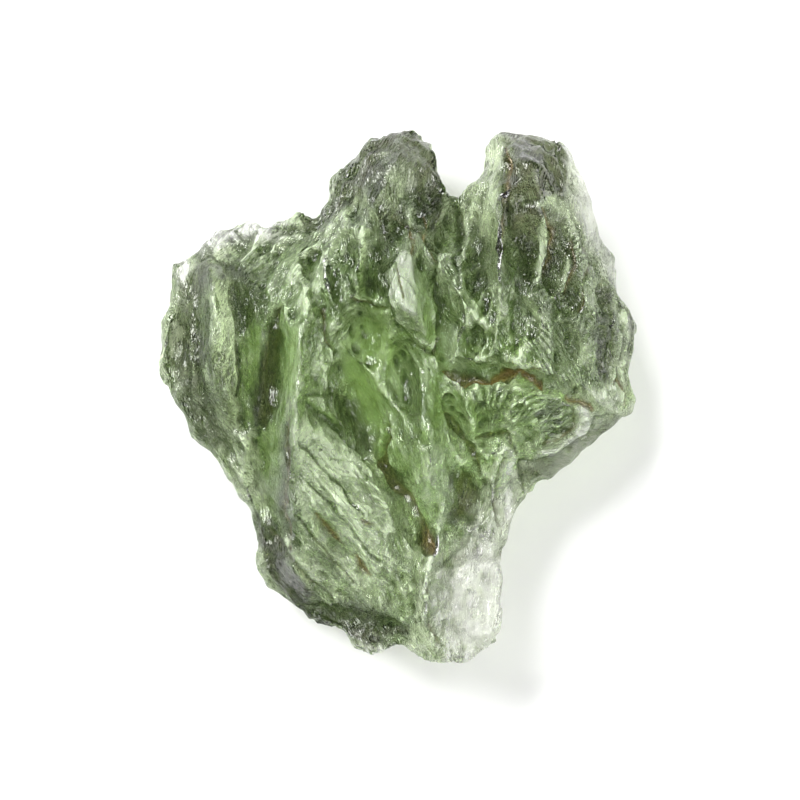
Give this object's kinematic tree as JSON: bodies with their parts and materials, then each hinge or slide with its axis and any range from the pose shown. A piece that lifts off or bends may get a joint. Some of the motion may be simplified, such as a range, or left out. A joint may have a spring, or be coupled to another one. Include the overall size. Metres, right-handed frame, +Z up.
{
  "type": "raw moldavite",
  "caption": "Small raw moldavite: a fan-shaped, deeply fluted piece of natural bottle-green glass with a split top, a thin clear foot and a small flat rest spot.",
  "frame": {"origin": "on the surface that the stone rests on, under the middle of its outline", "axes": "+Z up out of the sculpted front face as the stone lies on its back, +Y from the narrow foot to the two upper lobes, +X across the stone to the right as seen from above"},
  "size_m": [0.0136, 0.015, 0.006],
  "materials": {
    "moldavite_glass": "translucent bottle-green natural glass, silky and finely etched, nearly colourless where it is thin"
  },
  "bodies": {
    "root": {"moldavite": "moldavite_glass"}
  },
  "joints": []
}
